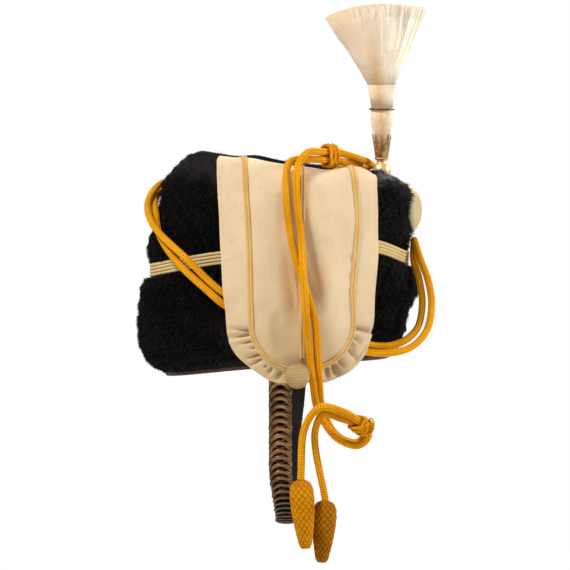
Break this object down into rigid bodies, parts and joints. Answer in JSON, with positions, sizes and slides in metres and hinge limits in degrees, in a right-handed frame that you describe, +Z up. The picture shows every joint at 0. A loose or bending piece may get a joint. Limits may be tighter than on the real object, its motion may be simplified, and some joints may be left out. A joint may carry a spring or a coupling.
{
  "type": "hussar busby",
  "caption": "Tall fur hat with a cloth bag over one side, plume in a gilt socket, front boss, looped cap lines with acorns, and a chain chin strap.",
  "frame": {"origin": "middle of the head opening, near the level of the lower rim, where a head holds the hat", "axes": "+X to the front of the hat, -Y to the wearer's right, where the bag falls, +Z up"},
  "size_m": [0.2651, 0.2496, 0.4844],
  "materials": {
    "fur": "dense short black-brown fur",
    "body_leather": "worn brown leather",
    "bag_cloth": "buff wool cloth",
    "bag_braid": "flat woven yellow braid",
    "cream_gimp": "cream gimp cord",
    "cap_line": "golden yellow knitted cord",
    "white_hair": "cut cream-white horsehair",
    "gilt_brass": "worn gilt brass",
    "old_brass": "tarnished brass",
    "strap_leather": "black velvet on leather"
  },
  "bodies": {
    "root": {"fur_body": "fur", "leather_body": "body_leather", "gimp_band": "cream_gimp", "bag": "bag_cloth", "edge_braid": "bag_braid", "centre_braid": "bag_braid", "bag_button": "cream_gimp", "front_boss": "cream_gimp", "plume_ball": "gilt_brass", "leaf_socket": "gilt_brass", "plume_ring": "old_brass", "hair_cuff": "white_hair", "plume_fan": "white_hair", "cord_a": "cap_line", "cord_b": "cap_line", "top_slider": "cap_line", "lower_slider": "cap_line", "acorn_a": "cap_line", "acorn_b": "cap_line", "chin_strap": "strap_leather", "chain_near": "old_brass", "chain_bottom": "old_brass", "chain_far": "old_brass"}
  },
  "joints": []
}
